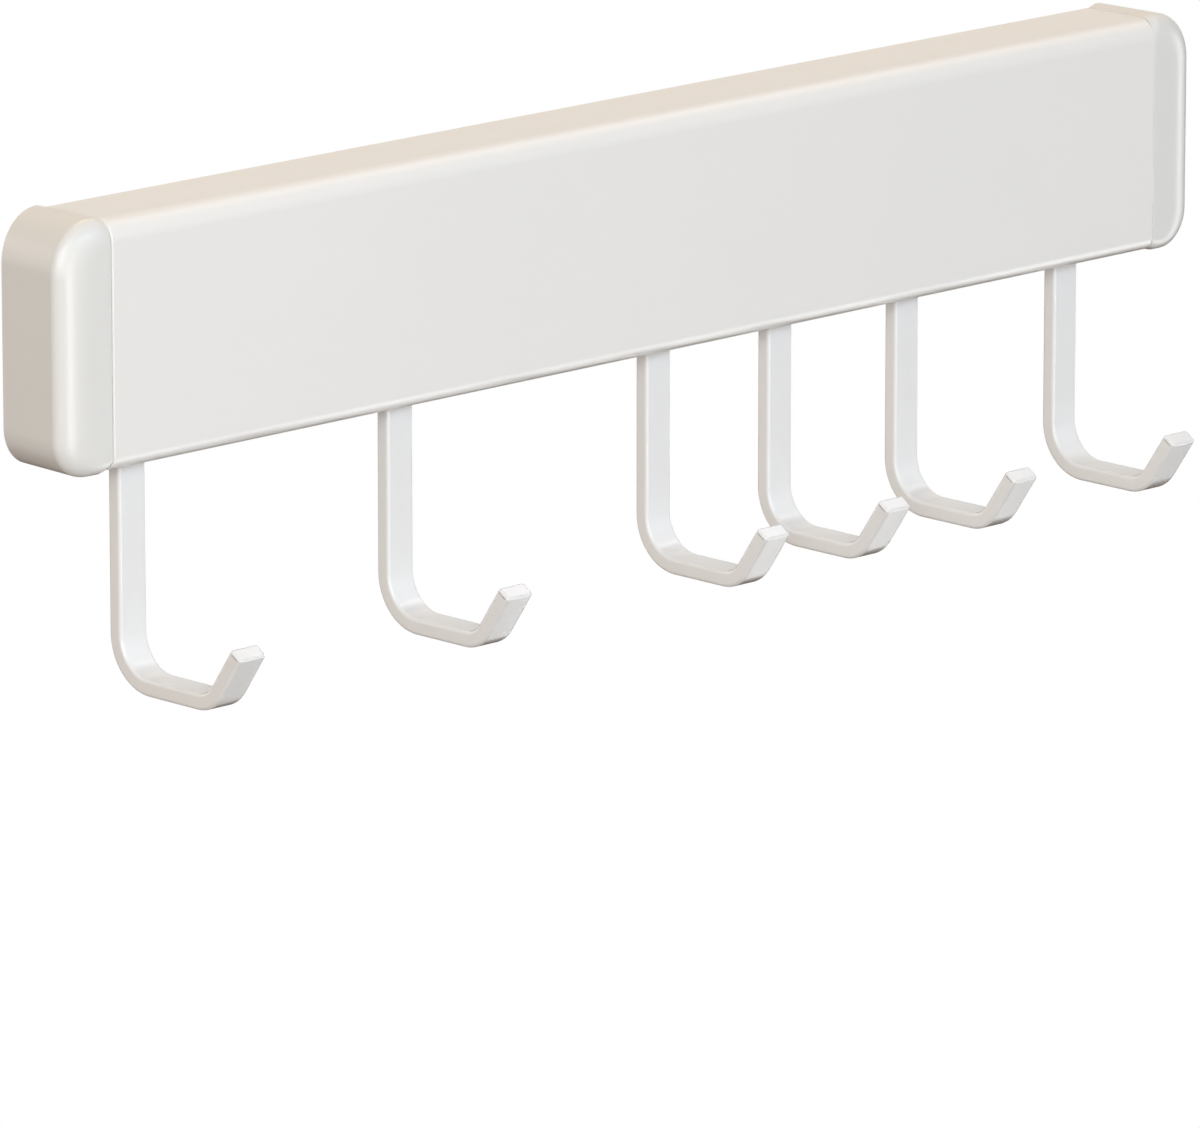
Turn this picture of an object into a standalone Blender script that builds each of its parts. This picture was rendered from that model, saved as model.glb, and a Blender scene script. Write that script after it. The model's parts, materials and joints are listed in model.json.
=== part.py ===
"""Wall coat rack: a white hook rail with six sliding J hooks, as separate solids.

The rail is an aluminium extrusion with a slot along its underside. Each hook hangs in
the slot by a T-shaped head, which slides on a nylon glide. Moulded caps plug into the
rail's ends and stop the hooks. Two keyholes in the rail's back hang it on wall screws.

Frame: +X to the right along the rail, +Y into the wall, +Z up. The origin is the
middle of the wall face, at half the rail's height.
"""

import math

import bmesh
import bpy
from mathutils import Matrix

# Rail, an extrusion of one section
RAIL_LENGTH = 0.4000
RAIL_HEIGHT = 0.0675
RAIL_DEPTH = 0.0265
RAIL_WALL = 0.0018
RAIL_EDGE_RADIUS = 0.0060
RAIL_LOWER_RADIUS = 0.0042
RAIL_BACK_RADIUS = 0.0006
WEB_THICKNESS = 0.0015
MID_WEB_SHARE = 0.5
LIP_THICKNESS = 0.0040
REAR_LIP_WIDTH = 0.0048

# Keyholes in the rail's back wall
KEYHOLE_SPACING = 0.3000
KEYHOLE_HEAD_RADIUS = 0.0048
KEYHOLE_NECK_RADIUS = 0.0023
KEYHOLE_DROP = 0.0095

# Gaps between pieces
FIT_GAP = 0.0003
SLOT_CLEARANCE = 0.00045
HEAD_CLEARANCE = 0.0005

# Hook, a flat bar bent into a J with a T-shaped head
HOOK_SHARES = (-0.470, -0.227, 0.018, 0.137, 0.264, 0.4265)
HOOK_WIDTH = 0.0096
HOOK_THICKNESS = 0.0045
HOOK_DROP = 0.0615
HOOK_BEND_RADIUS = 0.0152
ARM_REACH = 0.0341
TIP_BEND_RADIUS = 0.0115
TIP_ANGLE = math.radians(55.5)
TIP_LENGTH = 0.0138
TIP_END_RADIUS = 0.0008
HOOK_EDGE_RADIUS = 0.0010
HEAD_THICKNESS = 0.0040
HEAD_OVERHANG = 0.0038

# Glide, a nylon shoe under the hook's head
GLIDE_THICKNESS = 0.0013
GLIDE_MARGIN = 0.0004
CHEEK_THICKNESS = 0.0016
CHEEK_HEIGHT = 0.0026
GLIDE_CHAMFER = 0.0003

# End cap, a moulding with two hollow spigots and a stop for the hooks
CAP_WIDTH = 0.0175
CAP_FLARE = 0.0020
CAP_WALL = 0.0020
CAP_RISE = 0.0008
CAP_RECESS = 0.0003
CAP_UPPER_RADIUS = 0.0140
CAP_LOWER_RADIUS = 0.0110
CAP_RIM_DEPTH = 0.0055
CAP_RIM_SIDE = 0.0105
CAP_RIM_TOP = 0.0070
CAP_RIM_BOTTOM = 0.0042
SPIGOT_LENGTH = 0.0100
SPIGOT_WALL = 0.0018
STOP_LENGTH = 0.0030
TONGUE_ROOT = 0.0025

# Facets, overruns and the distance at which points are joined
EDGE_STEPS = 8
BEND_STEPS = 12
SMALL_STEPS = 3
HOLE_STEPS = 24
OVERRUN = 0.0020
WELD = 0.00001
SMOOTH_ANGLE = math.radians(35)

# Places in depth, from the front to the wall
RAIL_FRONT_Y = -RAIL_DEPTH
INNER_FRONT_Y = RAIL_FRONT_Y + RAIL_WALL
SLOT_FRONT_Y = RAIL_FRONT_Y + RAIL_EDGE_RADIUS
STEM_FRONT_Y = SLOT_FRONT_Y + SLOT_CLEARANCE
STEM_BACK_Y = STEM_FRONT_Y + HOOK_THICKNESS
SLOT_BACK_Y = STEM_BACK_Y + SLOT_CLEARANCE
HEAD_FRONT_Y = STEM_FRONT_Y - HEAD_OVERHANG
HEAD_BACK_Y = STEM_BACK_Y + HEAD_OVERHANG
REAR_LIP_Y = SLOT_BACK_Y + REAR_LIP_WIDTH
INNER_BACK_Y = -RAIL_WALL

# Places in height, from the underside up
RAIL_UNDERSIDE = -RAIL_HEIGHT / 2
ARM_BOTTOM = RAIL_UNDERSIDE - HOOK_DROP
LIP_TOP = RAIL_UNDERSIDE + LIP_THICKNESS
GLIDE_BOTTOM = LIP_TOP + FIT_GAP
GLIDE_TOP = GLIDE_BOTTOM + GLIDE_THICKNESS
HEAD_BOTTOM = GLIDE_TOP + FIT_GAP
HEAD_TOP = HEAD_BOTTOM + HEAD_THICKNESS
CHANNEL_TOP = HEAD_TOP + HEAD_CLEARANCE
LOWER_CELL_BOTTOM = CHANNEL_TOP + WEB_THICKNESS
RAIL_TOP = RAIL_HEIGHT / 2
UPPER_CELL_TOP = RAIL_TOP - RAIL_WALL
CELLS_HEIGHT = UPPER_CELL_TOP - LOWER_CELL_BOTTOM - WEB_THICKNESS
LOWER_CELL_TOP = LOWER_CELL_BOTTOM + MID_WEB_SHARE * CELLS_HEIGHT
UPPER_CELL_BOTTOM = LOWER_CELL_TOP + WEB_THICKNESS
KEYHOLE_Z = (UPPER_CELL_BOTTOM + UPPER_CELL_TOP + KEYHOLE_DROP) / 2

# Turns that carry a flat outline's own X, Y and thickness to world axes
FROM_SIDE = Matrix(((0, 0, 1), (1, 0, 0), (0, 1, 0))).to_4x4()
FROM_FRONT = Matrix(((1, 0, 0), (0, 0, -1), (0, 1, 0))).to_4x4()
MIRROR_X = Matrix.Diagonal((-1, 1, 1, 1))


def clear_scene():
    for obj in list(bpy.data.objects):
        bpy.data.objects.remove(obj, do_unlink=True)


def new_collection(name):
    collection = bpy.data.collections.new(name)
    bpy.context.scene.collection.children.link(collection)
    return collection


def make_material(name, colour, roughness, metallic=0.0):
    material = bpy.data.materials.new(name)
    material.use_nodes = True
    shader = material.node_tree.nodes["Principled BSDF"]
    shader.inputs["Base Color"].default_value = (*colour, 1.0)
    shader.inputs["Roughness"].default_value = roughness
    shader.inputs["Metallic"].default_value = metallic
    return material


def place(mesh, name, collection, material=None):
    """Puts a mesh in the scene as one object. Without a material it is a cutter, which isn't rendered."""
    obj = bpy.data.objects.new(name, mesh)
    collection.objects.link(obj)
    if material is None:
        obj.hide_render = True
        obj.display_type = "WIRE"
        return obj
    mesh.materials.clear()
    mesh.materials.append(material)
    mesh.shade_smooth()
    mesh.set_sharp_from_angle(angle=SMOOTH_ANGLE)
    return obj


def evaluated_mesh(obj):
    """A mesh of the object as its modifiers leave it."""
    bpy.context.view_layer.update()
    evaluated = obj.evaluated_get(bpy.context.evaluated_depsgraph_get())
    return bpy.data.meshes.new_from_object(evaluated)


def combine(obj, other, operation):
    modifier = obj.modifiers.new(operation.lower(), "BOOLEAN")
    modifier.operation = operation
    modifier.object = other


def weld(mesh):
    shape = bmesh.new()
    shape.from_mesh(mesh)
    bmesh.ops.remove_doubles(shape, verts=shape.verts, dist=WELD)
    bmesh.ops.recalc_face_normals(shape, faces=shape.faces)
    shape.to_mesh(mesh)
    shape.free()


def arc(centre, radius, start, end, steps):
    """Points on a circle, with the angles in degrees from the outline's own X axis."""
    points = []
    for step in range(steps + 1):
        angle = math.radians(start + (end - start) * step / steps)
        points.append((centre[0] + radius * math.cos(angle), centre[1] + radius * math.sin(angle)))
    return points


def rectangle(low, high):
    return [low, (high[0], low[1]), high, (low[0], high[1])]


def extruded(outlines, turn, start, end, edge_radius=0.0):
    """A flat outline and its holes, made solid from start to end, as a mesh."""
    curve = bpy.data.curves.new("outline", "CURVE")
    curve.dimensions = "2D"
    curve.fill_mode = "BOTH"
    curve.extrude = (end - start) / 2 - edge_radius
    curve.bevel_depth = edge_radius
    curve.bevel_resolution = 1
    curve.offset = -edge_radius
    for outline in outlines:
        spline = curve.splines.new("POLY")
        spline.points.add(len(outline) - 1)
        for point, (x, y) in zip(spline.points, outline):
            point.co = (x, y, 0.0, 1.0)
        spline.use_cyclic_u = True
    holder = bpy.data.objects.new("outline", curve)
    bpy.context.scene.collection.objects.link(holder)
    mesh = evaluated_mesh(holder)
    bpy.data.objects.remove(holder)
    bpy.data.curves.remove(curve)
    mesh.transform(turn @ Matrix.Translation((0, 0, (start + end) / 2)))
    weld(mesh)
    return mesh


def rail_outline():
    """The rail's section without its cells. The line runs in through the slot and round the channel."""
    front_y = RAIL_FRONT_Y + RAIL_EDGE_RADIUS
    back_y = -RAIL_BACK_RADIUS
    floor = RAIL_UNDERSIDE + RAIL_WALL
    lower = (RAIL_FRONT_Y + RAIL_LOWER_RADIUS, RAIL_UNDERSIDE + RAIL_LOWER_RADIUS)
    points = arc(lower, RAIL_LOWER_RADIUS, 270, 180, EDGE_STEPS)
    points += arc((front_y, RAIL_TOP - RAIL_EDGE_RADIUS), RAIL_EDGE_RADIUS, 180, 90, EDGE_STEPS)
    points += arc((back_y, RAIL_TOP - RAIL_BACK_RADIUS), RAIL_BACK_RADIUS, 90, 0, SMALL_STEPS)
    points += arc((back_y, RAIL_UNDERSIDE + RAIL_BACK_RADIUS), RAIL_BACK_RADIUS, 0, -90, SMALL_STEPS)
    points += [
        (SLOT_BACK_Y, RAIL_UNDERSIDE),
        (SLOT_BACK_Y, LIP_TOP),
        (REAR_LIP_Y, LIP_TOP),
        (REAR_LIP_Y, floor),
        (INNER_BACK_Y, floor),
        (INNER_BACK_Y, CHANNEL_TOP),
        (INNER_FRONT_Y, CHANNEL_TOP),
        (INNER_FRONT_Y, LIP_TOP),
        (SLOT_FRONT_Y, LIP_TOP),
        (SLOT_FRONT_Y, RAIL_UNDERSIDE),
    ]
    return points


def lower_cell(inset):
    """The closed cell over the channel, drawn in by the inset all round."""
    low = (INNER_FRONT_Y + inset, LOWER_CELL_BOTTOM + inset)
    high = (INNER_BACK_Y - inset, LOWER_CELL_TOP - inset)
    return rectangle(low, high)


def upper_cell(inset):
    """The cell under the rail's top, whose front corner follows the rail's round edge."""
    radius = RAIL_EDGE_RADIUS - RAIL_WALL - inset
    low = (INNER_FRONT_Y + inset, UPPER_CELL_BOTTOM + inset)
    high = (INNER_BACK_Y - inset, UPPER_CELL_TOP - inset)
    corner = arc((low[0] + radius, high[1] - radius), radius, 90, 180, EDGE_STEPS)
    return [low, (high[0], low[1]), high] + corner


def keyhole_outline(x):
    """A keyhole seen from the front: a round hole for a screw's head, and its neck above."""
    side = math.degrees(math.asin(KEYHOLE_NECK_RADIUS / KEYHOLE_HEAD_RADIUS))
    head = arc((x, KEYHOLE_Z - KEYHOLE_DROP), KEYHOLE_HEAD_RADIUS, 90 + side, 450 - side, HOLE_STEPS)
    return head + arc((x, KEYHOLE_Z), KEYHOLE_NECK_RADIUS, 0, 180, EDGE_STEPS)


def build_rail(parts, cutters, finish):
    section = [rail_outline(), lower_cell(0.0), upper_cell(0.0)]
    rail = place(extruded(section, FROM_SIDE, -RAIL_LENGTH / 2, RAIL_LENGTH / 2), "rail", parts, finish)
    for side, name in ((-1, "left"), (1, "right")):
        outline = keyhole_outline(side * KEYHOLE_SPACING / 2)
        hole = extruded([outline], FROM_FRONT, -OVERRUN, RAIL_WALL + OVERRUN)
        combine(rail, place(hole, f"keyhole_{name}", cutters), "DIFFERENCE")


def cap_outline(outer_x, inner_x, top, inset):
    """The right cap from the front: square towards the rail, with round corners on its outer side."""
    radius = CAP_LOWER_RADIUS - inset
    lower = arc((outer_x - radius, radius - top), radius, -90, 0, EDGE_STEPS)
    radius = CAP_UPPER_RADIUS - inset
    upper = arc((outer_x - radius, top - radius), radius, 0, 90, EDGE_STEPS)
    return [(inner_x, -top)] + lower + upper + [(inner_x, top)]


def cap_rings(inset):
    """Places in depth from the wall to the cap's front, each with how far the outline draws in there.

    The three distances are those at the outer side, the top and the bottom.
    """
    rings = [(-inset, CAP_FLARE, 0.0, 0.0)]
    depth = CAP_RIM_DEPTH - inset
    for step in range(EDGE_STEPS + 1):
        angle = math.pi / 2 * step / EDGE_STEPS
        y = RAIL_FRONT_Y + CAP_RECESS + inset + depth * (1 - math.sin(angle))
        drawn = [(rim - inset) * (1 - math.cos(angle)) for rim in (CAP_RIM_SIDE, CAP_RIM_TOP, CAP_RIM_BOTTOM)]
        rings.append((y, *drawn))
    return rings


def cap_form(inset, inner_x):
    """The right cap's rounded form from inner_x outwards, drawn in by the inset on every other side."""
    outer_x = RAIL_LENGTH / 2 + CAP_WIDTH - inset
    top = RAIL_TOP + CAP_RISE - inset
    outline = cap_outline(outer_x, inner_x, top, inset)
    shape = bmesh.new()
    rows = []
    for y, side, upper, lower in cap_rings(inset):
        x_share = 1 - side / (outer_x - inner_x)
        z_share = 1 - (upper + lower) / (2 * top)
        shift = (lower - upper) / 2
        row = [shape.verts.new((inner_x + (x - inner_x) * x_share, y, z * z_share + shift)) for x, z in outline]
        rows.append(row)
    shape.faces.new(rows[0])
    shape.faces.new(rows[-1])
    for near, far in zip(rows, rows[1:]):
        for i in range(len(near)):
            shape.faces.new((near[i - 1], near[i], far[i], far[i - 1]))
    bmesh.ops.recalc_face_normals(shape, faces=shape.faces)
    mesh = bpy.data.meshes.new("cap_form")
    shape.to_mesh(mesh)
    shape.free()
    return mesh


def build_caps(parts, cutters, finish):
    """Both caps: a rounded body with spigots and a stop for the rail, hollowed by straight cores."""
    cap = place(cap_form(0.0, RAIL_LENGTH / 2 + FIT_GAP), "end_cap", cutters)
    stop = rectangle((INNER_FRONT_Y + FIT_GAP, LIP_TOP + FIT_GAP), (REAR_LIP_Y, CHANNEL_TOP - FIT_GAP))
    tongues = (
        ("upper_spigot", upper_cell(FIT_GAP), SPIGOT_LENGTH),
        ("lower_spigot", lower_cell(FIT_GAP), SPIGOT_LENGTH),
        ("hook_stop", stop, STOP_LENGTH),
    )
    for name, outline, reach in tongues:
        mesh = extruded([outline], FROM_SIDE, RAIL_LENGTH / 2 - reach, RAIL_LENGTH / 2 + TONGUE_ROOT)
        combine(cap, place(mesh, name, cutters), "UNION")
    hollow = FIT_GAP + SPIGOT_WALL
    rear = rectangle((REAR_LIP_Y + SPIGOT_WALL, RAIL_UNDERSIDE), (0.0, LOWER_CELL_BOTTOM))
    cores = (
        ("upper_core", upper_cell(hollow), SPIGOT_LENGTH + OVERRUN),
        ("lower_core", lower_cell(hollow), SPIGOT_LENGTH + OVERRUN),
        ("rear_core", rear, OVERRUN),
    )
    limit_start = RAIL_LENGTH / 2 - SPIGOT_LENGTH - OVERRUN - OVERRUN
    limit = place(cap_form(CAP_WALL, limit_start), "core_limit", cutters)
    for name, outline, reach in cores:
        mesh = extruded([outline], FROM_SIDE, RAIL_LENGTH / 2 - reach, RAIL_LENGTH / 2 + CAP_WIDTH)
        core = place(mesh, name, cutters)
        combine(core, limit, "INTERSECT")
        combine(cap, core, "DIFFERENCE")
    right = evaluated_mesh(cap)
    left = right.copy()
    left.transform(MIRROR_X)
    left.flip_normals()
    place(right, "end_cap_right", parts, finish)
    place(left, "end_cap_left", parts, finish)


def hook_outline():
    """The hook from the side: T-shaped head, stem, round bend, arm and raised tip."""
    bend = (STEM_BACK_Y - HOOK_BEND_RADIUS, ARM_BOTTOM + HOOK_BEND_RADIUS)
    tip = (STEM_BACK_Y - ARM_REACH, ARM_BOTTOM + TIP_BEND_RADIUS)
    turn = math.degrees(TIP_ANGLE)
    points = [
        (STEM_BACK_Y, HEAD_BOTTOM),
        (HEAD_BACK_Y, HEAD_BOTTOM),
        (HEAD_BACK_Y, HEAD_TOP),
        (HEAD_FRONT_Y, HEAD_TOP),
        (HEAD_FRONT_Y, HEAD_BOTTOM),
        (STEM_FRONT_Y, HEAD_BOTTOM),
    ]
    points += arc(bend, HOOK_BEND_RADIUS - HOOK_THICKNESS, 0, -90, BEND_STEPS)
    points += arc(tip, TIP_BEND_RADIUS - HOOK_THICKNESS, -90, -90 - turn, BEND_STEPS)
    points += tip_end(tip, turn)
    points += arc(tip, TIP_BEND_RADIUS, -90 - turn, -90, BEND_STEPS)
    points += arc(bend, HOOK_BEND_RADIUS, -90, 0, BEND_STEPS)
    return points


def tip_end(centre, turn):
    """The two round corners at the tip's end, the inner one first."""
    forward = (-math.cos(TIP_ANGLE), math.sin(TIP_ANGLE))
    outward = (-math.sin(TIP_ANGLE), -math.cos(TIP_ANGLE))
    along = TIP_LENGTH - TIP_END_RADIUS
    points = []
    for depth, start in (
        (TIP_BEND_RADIUS - HOOK_THICKNESS + TIP_END_RADIUS, 90 - turn),
        (TIP_BEND_RADIUS - TIP_END_RADIUS, 180 - turn),
    ):
        corner = [centre[i] + along * forward[i] + depth * outward[i] for i in range(2)]
        points += arc(corner, TIP_END_RADIUS, start, start + 90, SMALL_STEPS)
    return points


def hook_mesh():
    return extruded([hook_outline()], FROM_SIDE, -HOOK_WIDTH / 2, HOOK_WIDTH / 2, HOOK_EDGE_RADIUS)


def glide_mesh(cutters):
    """A shoe that lies on the lips, with a cheek at each end of the head and a window for the stem."""
    inner = HOOK_WIDTH / 2 + FIT_GAP
    outer = inner + CHEEK_THICKNESS
    cheek_top = GLIDE_TOP + CHEEK_HEIGHT
    outline = [
        (-outer, GLIDE_BOTTOM),
        (outer, GLIDE_BOTTOM),
        (outer, cheek_top),
        (inner, cheek_top),
        (inner, GLIDE_TOP),
        (-inner, GLIDE_TOP),
        (-inner, cheek_top),
        (-outer, cheek_top),
    ]
    front = -HEAD_FRONT_Y + GLIDE_MARGIN
    back = -HEAD_BACK_Y - GLIDE_MARGIN
    glide = place(extruded([outline], FROM_FRONT, back, front), "glide", cutters)
    edges = glide.modifiers.new("chamfer", "BEVEL")
    edges.width = GLIDE_CHAMFER
    edges.segments = 1
    window = rectangle((-inner, GLIDE_BOTTOM - OVERRUN), (inner, GLIDE_TOP + OVERRUN))
    hole = extruded([window], FROM_FRONT, -STEM_BACK_Y - FIT_GAP, -STEM_FRONT_Y + FIT_GAP)
    combine(glide, place(hole, "stem_window", cutters), "DIFFERENCE")
    return evaluated_mesh(glide)


def build_hooks(parts, cutters, finish, glide_finish):
    """Six hooks, each with its glide, carried by an empty on the slot's middle line."""
    slide = ((STEM_FRONT_Y + STEM_BACK_Y) / 2, GLIDE_BOTTOM)
    pieces = (("hook", hook_mesh(), finish), ("glide", glide_mesh(cutters), glide_finish))
    for number, share in enumerate(HOOK_SHARES, start=1):
        carrier = bpy.data.objects.new(f"slide_{number}", None)
        parts.objects.link(carrier)
        carrier.location = (share * RAIL_LENGTH, *slide)
        for name, mesh, material in pieces:
            piece = place(mesh, f"{name}_{number}", parts, material)
            piece.parent = carrier
            piece.matrix_parent_inverse = Matrix.Translation((0, -slide[0], -slide[1]))


def build():
    clear_scene()
    parts = new_collection("wall_coat_rack")
    cutters = new_collection("cutters")
    powder = make_material("white_powder_coat", (0.80, 0.80, 0.79), 0.45)
    plastic = make_material("white_abs", (0.76, 0.76, 0.74), 0.35)
    enamel = make_material("white_hook_enamel", (0.82, 0.82, 0.81), 0.30)
    nylon = make_material("natural_nylon", (0.75, 0.73, 0.67), 0.50)
    build_rail(parts, cutters, powder)
    build_caps(parts, cutters, plastic)
    build_hooks(parts, cutters, enamel, nylon)


build()
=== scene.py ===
# %% [markdown]
# # A white wall coat rack
# The rack is a hollow rail with rounded front edges, a moulded cap on each end and six J hooks that slide in
# a slot along its underside. Its solids are already measured and fixed in a frame: X runs along the rail, Y
# into the wall and Z up, in metres. The wall's face is at y = 0. This lesson gives the solids finer edges,
# real finishes, light and a camera.

import json
import math

import bmesh
import bpy
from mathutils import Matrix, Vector

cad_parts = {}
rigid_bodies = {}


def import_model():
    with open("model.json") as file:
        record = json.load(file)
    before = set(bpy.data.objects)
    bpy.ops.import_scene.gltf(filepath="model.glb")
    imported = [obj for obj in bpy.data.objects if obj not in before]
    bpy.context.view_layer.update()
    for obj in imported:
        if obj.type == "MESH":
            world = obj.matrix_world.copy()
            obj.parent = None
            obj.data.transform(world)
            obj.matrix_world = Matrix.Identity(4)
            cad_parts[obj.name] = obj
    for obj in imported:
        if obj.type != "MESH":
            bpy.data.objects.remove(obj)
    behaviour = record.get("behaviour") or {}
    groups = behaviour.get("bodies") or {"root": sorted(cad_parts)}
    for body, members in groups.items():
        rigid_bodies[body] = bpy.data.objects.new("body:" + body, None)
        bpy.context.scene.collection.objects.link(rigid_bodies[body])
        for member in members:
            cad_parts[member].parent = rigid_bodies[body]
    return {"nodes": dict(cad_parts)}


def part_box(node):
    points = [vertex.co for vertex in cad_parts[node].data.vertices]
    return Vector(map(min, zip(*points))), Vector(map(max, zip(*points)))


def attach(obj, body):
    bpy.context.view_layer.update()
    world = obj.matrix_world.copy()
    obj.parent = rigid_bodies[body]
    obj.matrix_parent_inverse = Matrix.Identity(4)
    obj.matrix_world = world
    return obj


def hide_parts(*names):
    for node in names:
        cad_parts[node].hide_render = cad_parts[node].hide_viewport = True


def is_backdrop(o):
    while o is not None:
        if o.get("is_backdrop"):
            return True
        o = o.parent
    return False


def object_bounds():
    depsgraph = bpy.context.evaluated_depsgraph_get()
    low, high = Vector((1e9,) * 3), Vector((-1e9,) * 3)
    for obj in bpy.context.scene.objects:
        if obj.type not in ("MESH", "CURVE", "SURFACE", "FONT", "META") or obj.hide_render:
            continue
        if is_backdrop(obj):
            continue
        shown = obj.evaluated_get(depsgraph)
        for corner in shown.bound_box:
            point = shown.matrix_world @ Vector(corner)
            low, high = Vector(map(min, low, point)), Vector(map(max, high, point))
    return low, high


MM = 0.001
bpy.ops.object.select_all(action="SELECT")
bpy.ops.object.delete()
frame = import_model()
cad_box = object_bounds()
print("solids:", ", ".join(sorted(frame["nodes"])))
print("box in mm:", [[round(value / MM, 1) for value in corner] for corner in cad_box])

# %% [markdown]
# ## Helpers
# An operator acts on everything that is selected, and loading the frame leaves its solids selected. So each
# step starts from an empty selection. Inside edit mode, vertices, edges and faces are then chosen by their
# place or by the way they face, as a pointer would do it in the window.

# %% Select and measure
X, Y, Z = 0, 1, 2
TOLERANCE = 0.01 * MM
QUARTER_TURN = math.radians(90)


def fresh(*pieces):
    """Leaves edit mode and selects only these pieces, the last one active."""
    if bpy.context.mode != "OBJECT":
        bpy.ops.object.mode_set(mode="OBJECT")
    bpy.ops.object.select_all(action="DESELECT")
    for piece in pieces:
        piece.select_set(True)
        bpy.context.view_layer.objects.active = piece


def choose(kind, test):
    """Selects the vertices, edges or faces of the piece in edit mode that pass the test."""
    bpy.ops.mesh.select_mode(type=kind)
    bpy.ops.mesh.select_all(action="DESELECT")
    mesh = bpy.context.edit_object.data
    shape = bmesh.from_edit_mesh(mesh)
    parts = {"VERT": shape.verts, "EDGE": shape.edges, "FACE": shape.faces}[kind]
    found = [part for part in parts if test(part)]
    for part in found:
        part.select_set(True)
    bmesh.update_edit_mesh(mesh)
    return len(found)


def near(value, goal):
    """True where two measures agree within the tolerance."""
    return abs(value - goal) < TOLERANCE


def lies_at(axis, goal):
    """A test for edges or faces whose corners all have this place on one axis."""
    return lambda part: all(near(corner.co[axis], goal) for corner in part.verts)


def either(first, second):
    """A test that lets through what one of two tests lets through."""
    return lambda part: first(part) or second(part)


def describe(piece):
    """Prints a piece's name, size in mm and triangles."""
    size = [round(value / MM, 1) for value in piece.dimensions]
    triangles = sum(len(polygon.vertices) - 2 for polygon in piece.data.polygons)
    print(piece.name, "size in mm:", size, "triangles:", triangles)


# %% [markdown]
# Most cuts here are made with boxes: a cube is stretched between two corners, and a Boolean modifier cuts it
# out of a piece or joins it on. A bevel then rounds the edges that a test picks.

# %% Add boxes and cut with them
def add_box(name, low, high):
    """A cube stretched between two corners, with its place in its mesh."""
    fresh()
    middle = [(a + b) / 2 for a, b in zip(low, high)]
    size = [b - a for a, b in zip(low, high)]
    bpy.ops.mesh.primitive_cube_add(size=1, location=middle, scale=size)
    bpy.ops.object.transform_apply(location=True, rotation=True, scale=True)
    box = bpy.context.active_object
    box.name = name
    return box


def combine(piece, tool, operation="DIFFERENCE"):
    """Cuts the piece with a tool or joins the tool to it, and takes the tool away."""
    fresh(piece)
    modifier = piece.modifiers.new("combine", "BOOLEAN")
    modifier.operation = operation
    modifier.object = tool
    bpy.ops.object.modifier_apply(modifier=modifier.name)
    bpy.data.objects.remove(tool)


def soften(piece, width, test, segments):
    """Rounds the edges that pass the test."""
    fresh(piece)
    bpy.ops.object.mode_set(mode="EDIT")
    count = choose("EDGE", test)
    bpy.ops.mesh.bevel(offset=width, segments=segments, profile=0.5, affect="EDGES")
    bpy.ops.object.mode_set(mode="OBJECT")
    print(f"{piece.name}: {count} edges rounded by {width / MM:.2f} mm")


# %% [markdown]
# ## Finishes
# Every visible surface is white, so the finishes differ in gloss and in texture and only a little in colour.
# The rail's powder melts into a skin with a shallow ripple, called orange peel. The caps copy the fine spark
# texture of their mould. The hooks' enamel is smoother and shines more. The glides are unpainted nylon.
# Colours are written as the hex codes of a colour picker, and one function turns them to the linear values
# that a shader works with.

# %% Colour and node helpers
# A Mix node gives its sockets for numbers and those for colours the same names, so the latter go by place.
MIX_SHARE, MIX_FIRST, MIX_SECOND = 0, 6, 7
MIXED_COLOUR = 2


def colour(code):
    """An sRGB hex code as a linear colour."""
    channels = [int(code[place:place + 2], 16) / 255 for place in (1, 3, 5)]
    return [c / 12.92 if c <= 0.04045 else ((c + 0.055) / 1.055) ** 2.4 for c in channels] + [1.0]


def add_node(owner, kind, inputs=None, **settings):
    """Adds a node to a material or the world, with its settings and with values or links on its inputs."""
    tree = owner.node_tree
    node = tree.nodes.new(kind)
    for name, value in settings.items():
        setattr(node, name, value)
    for name, value in (inputs or {}).items():
        if isinstance(value, bpy.types.NodeSocket):
            tree.links.new(value, node.inputs[name])
        else:
            node.inputs[name].default_value = value
    return node


def new_finish(name):
    """An empty material that uses nodes."""
    material = bpy.data.materials.new(name)
    material.use_nodes = True
    material.node_tree.nodes.clear()
    return material


# %% [markdown]
# ### Powder coat on aluminium
# Polyester powder is sprayed on dry and baked. It flows together into a satin skin about 0.08 mm thick, which
# stays slightly rippled: broad waves about 3 mm long and a finer grain of 0.4 mm. Its tint drifts by a shade
# over some 60 mm. The skin is a dielectric with an index of refraction near 1.5. The metal doesn't show
# through, so metallic stays 0.

# %% Powder coat
powder_coat = new_finish("white_satin_powder_coat")
place = add_node(powder_coat, "ShaderNodeTexCoord").outputs["Object"]
WAVE_LENGTH = 3.0 * MM
GRAIN_SIZE = 0.4 * MM
CLOUD_SIZE = 60.0 * MM
waves = add_node(
    powder_coat,
    "ShaderNodeTexNoise",
    {"Vector": place, "Scale": 1 / WAVE_LENGTH, "Detail": 2.0},
)
grain = add_node(
    powder_coat,
    "ShaderNodeTexNoise",
    {"Vector": place, "Scale": 1 / GRAIN_SIZE, "Detail": 1.0},
)
clouds = add_node(
    powder_coat,
    "ShaderNodeTexNoise",
    {"Vector": place, "Scale": 1 / CLOUD_SIZE, "Detail": 3.0},
)
tint = add_node(
    powder_coat,
    "ShaderNodeMix",
    {MIX_SHARE: clouds.outputs["Fac"], MIX_FIRST: colour("#EDEDEB"), MIX_SECOND: colour("#F1F0ED")},
    data_type="RGBA",
)
gloss = add_node(
    powder_coat,
    "ShaderNodeMapRange",
    {"Value": waves.outputs["Fac"], "To Min": 0.28, "To Max": 0.34},
)
ripple = add_node(
    powder_coat,
    "ShaderNodeBump",
    {"Height": waves.outputs["Fac"], "Strength": 0.25, "Distance": 0.03 * MM},
)
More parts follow.
